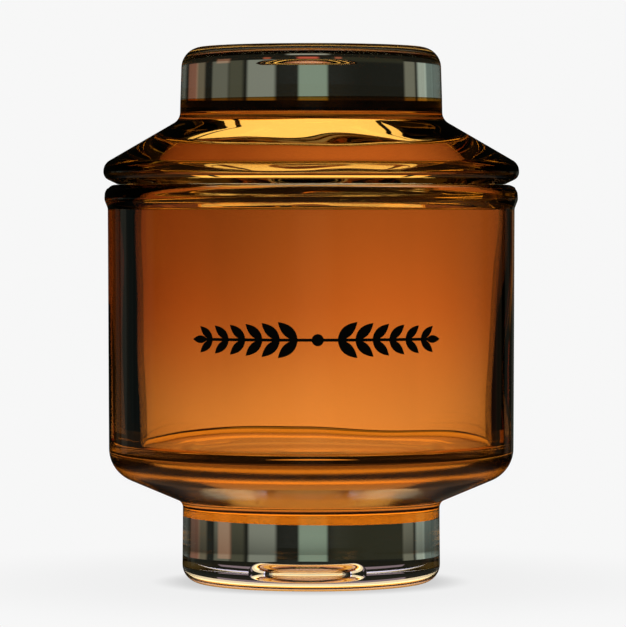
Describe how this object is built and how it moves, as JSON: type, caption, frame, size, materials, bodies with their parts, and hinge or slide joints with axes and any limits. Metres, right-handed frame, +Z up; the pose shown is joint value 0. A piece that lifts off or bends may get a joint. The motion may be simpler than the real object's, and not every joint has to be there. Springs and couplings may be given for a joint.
{
  "type": "lidded candle jar",
  "caption": "Empty heavy-glass candle jar: amber bowl on a solid clear foot, amber lift-off lid with a solid clear knob, small printed sprig.",
  "frame": {"origin": "centre of the foot's underside, on the surface the jar stands on", "axes": "+Z up along the jar's axis; the printed front faces -Y"},
  "size_m": [0.1, 0.1, 0.1288],
  "materials": {
    "clear_glass": "polished clear glass",
    "amber_glass": "polished amber glass",
    "clear_silicone": "translucent silicone",
    "print_ink": "flat screen-printed ink"
  },
  "bodies": {
    "jar": {"jar_foot": "clear_glass", "jar_bowl": "amber_glass", "front_print": "print_ink"},
    "seal": {"seal_ring": "clear_silicone"},
    "lid": {"lid_dome": "amber_glass", "lid_knob": "clear_glass"}
  },
  "joints": [
    {"name": "lid_lift", "type": "slide", "parent": "jar", "child": "seal", "axis": [0, 0, 1], "range_m": [0, 0.06]},
    {"name": "lid_turn", "type": "hinge", "parent": "seal", "child": "lid", "pos_m": [0, 0, 0.0942], "axis": [0, 0, 1], "continuous": true}
  ]
}
